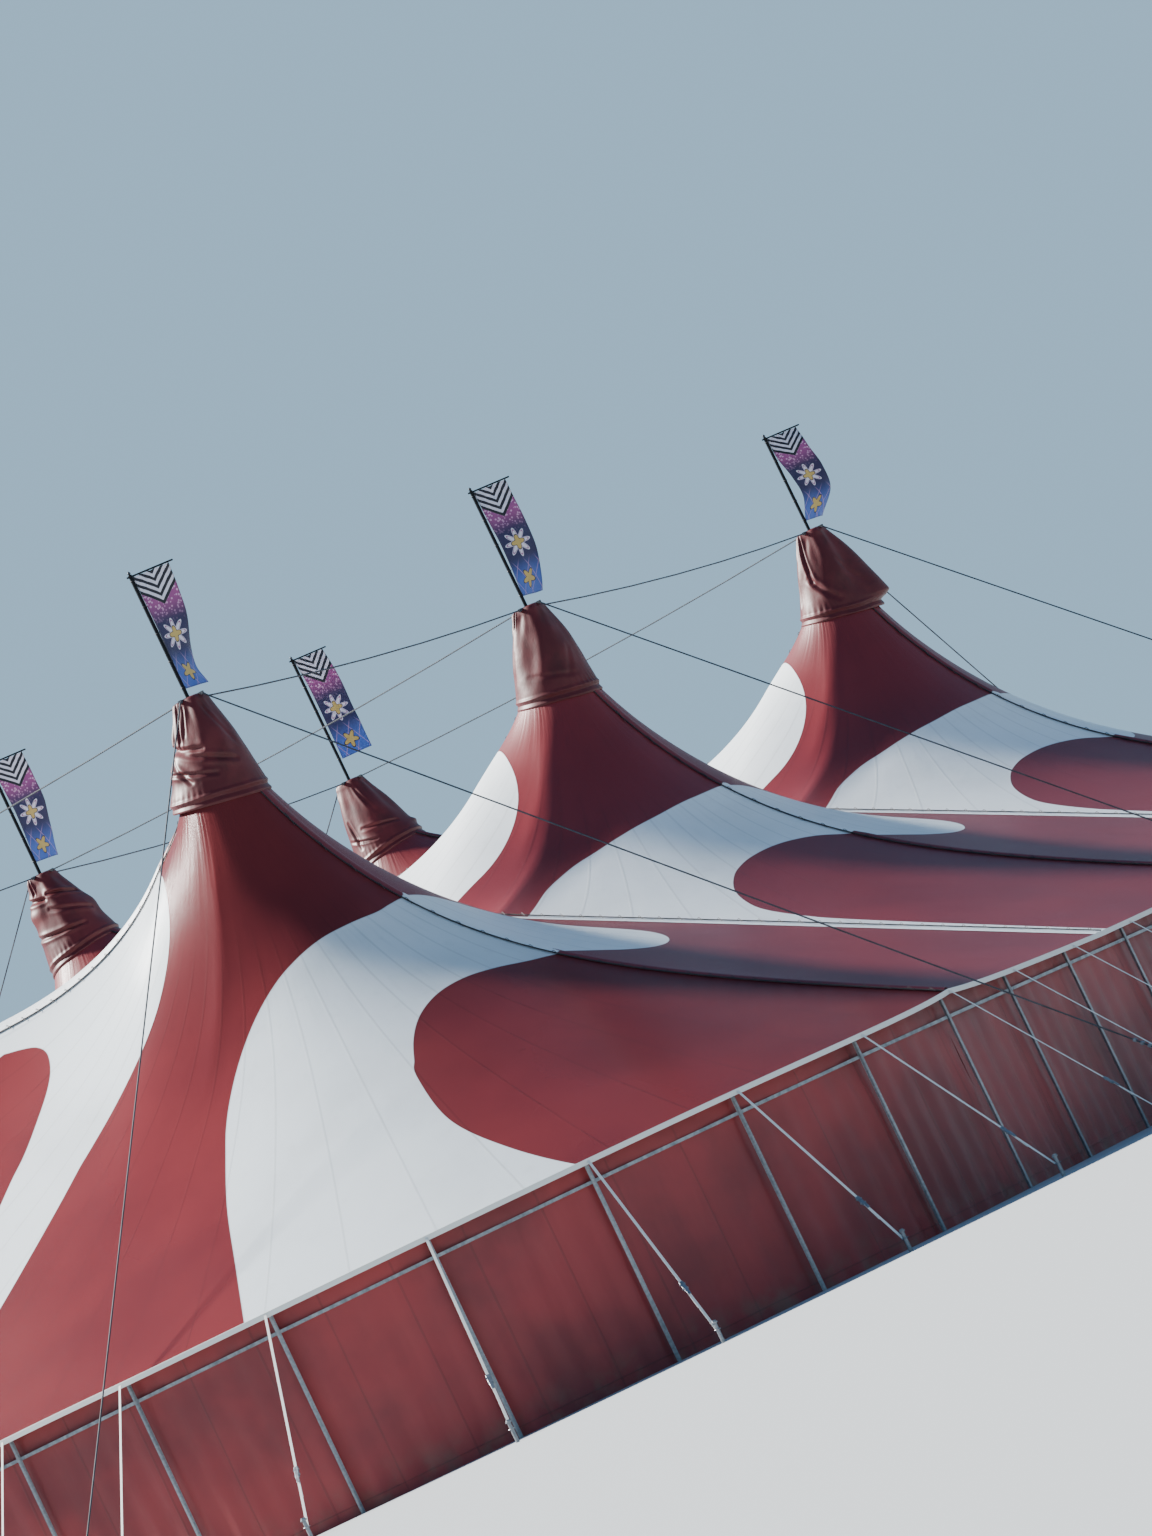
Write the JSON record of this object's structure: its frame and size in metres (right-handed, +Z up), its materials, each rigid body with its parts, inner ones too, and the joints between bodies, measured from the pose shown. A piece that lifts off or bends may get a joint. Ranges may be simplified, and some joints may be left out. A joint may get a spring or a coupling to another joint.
{
  "type": "circus big top tent, half-size model",
  "caption": "Scale model of a circus big top: peaked membrane roof on king masts, weather caps, head cables, flags, side poles, guys and curtain walls with an entrance.",
  "frame": {"origin": "on the ground at the middle of the plan", "axes": "+Z up, X along the two rows of masts (the long way), -Y the entrance front"},
  "size_m": [30.3934, 23.4, 9.35],
  "materials": {
    "roof_membrane": "coated polyester tent cloth, satin, brick red and white lobes",
    "cap_fabric": "dark red coated cloth, wrinkled, glossy on the folds",
    "wall_fabric": "coated polyester curtain wall, satin",
    "flag_fabric": "printed knitted polyester, matte",
    "webbing": "woven polyester webbing with steel stakes",
    "mast_metal": "galvanised steel tube, dull; flagpole dark",
    "ring_metal": "galvanised steel, dull",
    "pole_metal": "galvanised steel tube, dull",
    "cable_steel": "wire rope, weathered"
  },
  "bodies": {
    "root": {"roof_left_end": "roof_membrane", "roof_left_bay": "roof_membrane", "roof_middle_bay_left": "roof_membrane", "roof_middle_bay_right": "roof_membrane", "roof_right_bay": "roof_membrane", "roof_right_end": "roof_membrane", "king_mast_front_left": "mast_metal", "cupola_ring_front_left": "ring_metal", "cap_front_left": "cap_fabric", "flag_front_left": "flag_fabric", "king_mast_front_middle": "mast_metal", "cupola_ring_front_middle": "ring_metal", "cap_front_middle": "cap_fabric", "flag_front_middle": "flag_fabric", "king_mast_front_right": "mast_metal", "cupola_ring_front_right": "ring_metal", "cap_front_right": "cap_fabric", "flag_front_right": "flag_fabric", "king_mast_back_left": "mast_metal", "cupola_ring_back_left": "ring_metal", "cap_back_left": "cap_fabric", "flag_back_left": "flag_fabric", "king_mast_back_middle": "mast_metal", "cupola_ring_back_middle": "ring_metal", "cap_back_middle": "cap_fabric", "flag_back_middle": "flag_fabric", "king_mast_back_right": "mast_metal", "cupola_ring_back_right": "ring_metal", "cap_back_right": "cap_fabric", "flag_back_right": "flag_fabric", "mast_head_cables": "cable_steel", "side_poles_front": "pole_metal", "guys_front": "webbing", "side_poles_back": "pole_metal", "guys_back": "webbing", "side_poles_left": "pole_metal", "guys_left": "webbing", "side_poles_right": "pole_metal", "guys_right": "webbing", "wall_front_left": "wall_fabric", "wall_front_right": "wall_fabric", "wall_over_entrance": "wall_fabric", "wall_back": "wall_fabric", "wall_left_end": "wall_fabric", "wall_right_end": "wall_fabric"}
  },
  "joints": []
}
